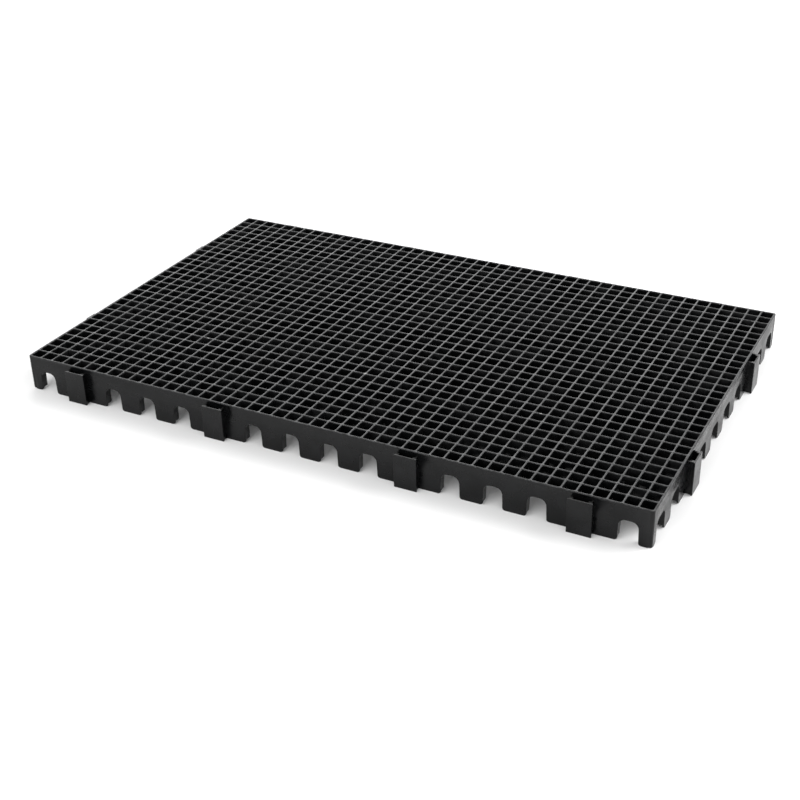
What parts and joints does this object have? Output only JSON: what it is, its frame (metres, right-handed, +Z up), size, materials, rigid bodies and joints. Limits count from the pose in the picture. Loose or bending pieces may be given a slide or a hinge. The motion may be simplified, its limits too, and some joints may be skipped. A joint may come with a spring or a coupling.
{
  "type": "interlocking slatted deck panel",
  "caption": "Black plastic nursery deck panel: open square grating on a skirt cut into arched feet, with pockets on two sides and hooks on the other two that join it to its neighbours.",
  "frame": {"origin": "on the floor, under the middle of the grating: the underside of the middle inner foot", "axes": "+Z up; +X along the long side, towards the short side that has pockets; -Y is the front, the long side that has pockets"},
  "size_m": [0.9794, 0.6194, 0.055],
  "materials": {
    "moulded_plastic": "black injection-moulded polypropylene, satin"
  },
  "bodies": {
    "root": {"back_feet": "moulded_plastic", "back_hook_1": "moulded_plastic", "back_hook_2": "moulded_plastic", "back_hook_3": "moulded_plastic", "back_hook_4": "moulded_plastic", "back_rail": "moulded_plastic", "deck_grid": "moulded_plastic", "front_feet": "moulded_plastic", "front_rail": "moulded_plastic", "front_socket_1": "moulded_plastic", "front_socket_2": "moulded_plastic", "front_socket_3": "moulded_plastic", "front_socket_4": "moulded_plastic", "inner_feet": "moulded_plastic", "left_feet": "moulded_plastic", "left_hook_1": "moulded_plastic", "left_hook_2": "moulded_plastic", "left_rail": "moulded_plastic", "right_feet": "moulded_plastic", "right_rail": "moulded_plastic", "right_socket_1": "moulded_plastic", "right_socket_2": "moulded_plastic", "under_beams": "moulded_plastic"}
  },
  "joints": []
}
